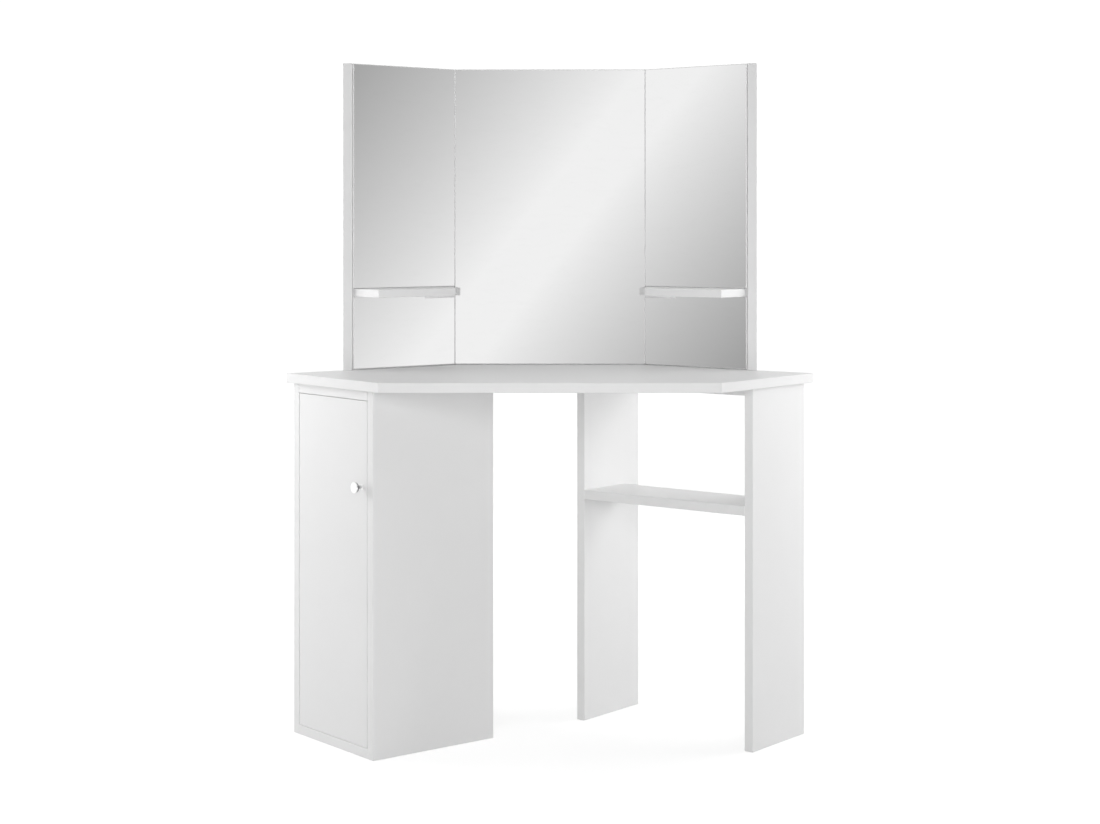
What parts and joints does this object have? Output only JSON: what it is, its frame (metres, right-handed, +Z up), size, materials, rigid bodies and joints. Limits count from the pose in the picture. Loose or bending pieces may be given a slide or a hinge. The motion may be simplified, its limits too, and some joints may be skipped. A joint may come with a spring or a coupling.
{
  "type": "corner dressing table",
  "caption": "White corner dressing table with angled wings, a mirror hutch with small shelves, a hinged-door cabinet and an open shelf stand.",
  "frame": {"origin": "on the floor, under the middle of the table top's plan box", "axes": "+Z up, -Y is the front where the user sits, +X to the user's right when facing the mirrors"},
  "size_m": [1.109, 0.54, 1.415],
  "materials": {
    "white_board": "white melamine-faced board with banded edges, satin",
    "back_sheet": "thin white-faced hardboard, matt",
    "mirror": "silvered float glass, polished edges",
    "mirror_tape": "white foam tape",
    "chrome": "bright plated",
    "steel": "zinc or nickel plated, satin",
    "dowel": "bare beech",
    "catch_plastic": "white moulded plastic",
    "magnet": "dark ferrite, matt"
  },
  "bodies": {
    "table": {"table_top": "white_board", "cabinet_wall_side": "white_board", "cabinet_knee_side": "white_board", "cabinet_top_panel": "white_board", "cabinet_bottom_panel": "white_board", "cabinet_lower_shelf": "white_board", "cabinet_upper_shelf": "white_board", "outer_leg": "white_board", "inner_leg": "white_board", "stand_shelf": "white_board", "stand_rail": "white_board", "centre_mirror_board": "white_board", "left_mirror_board": "white_board", "right_mirror_board": "white_board", "left_end_stile": "white_board", "right_end_stile": "white_board", "left_hutch_shelf": "white_board", "right_hutch_shelf": "white_board", "cabinet_back_sheet": "back_sheet", "centre_mirror": "mirror", "left_lower_mirror": "mirror", "left_upper_mirror": "mirror", "right_lower_mirror": "mirror", "right_upper_mirror": "mirror", "mirror_tape": "mirror_tape", "lower_hinge_arm": "steel", "lower_hinge_plate": "steel", "upper_hinge_arm": "steel", "upper_hinge_plate": "steel", "hinge_plate_screws": "steel", "hinge_arm_screws": "steel", "catch_screws": "steel", "table_screws": "steel", "hutch_screws": "steel", "hutch_shelf_screws": "steel", "cabinet_shelf_pins": "steel", "table_dowels": "dowel", "cabinet_dowels": "dowel", "stand_dowels": "dowel", "catch_body": "catch_plastic", "catch_magnet": "magnet"},
    "door": {"cabinet_door": "white_board", "door_knob": "chrome", "door_knob_screw": "steel", "lower_hinge_cup": "steel", "lower_hinge_pin": "steel", "upper_hinge_cup": "steel", "upper_hinge_pin": "steel", "hinge_cup_screws": "steel", "strike_plate": "steel", "strike_screws": "steel"}
  },
  "joints": [
    {"name": "door_hinge", "type": "hinge", "parent": "table", "child": "door", "pos_m": [-0.50299, -0.02609, 0.368], "axis": [0, 0, -1], "range_deg": [0, 95]}
  ]
}
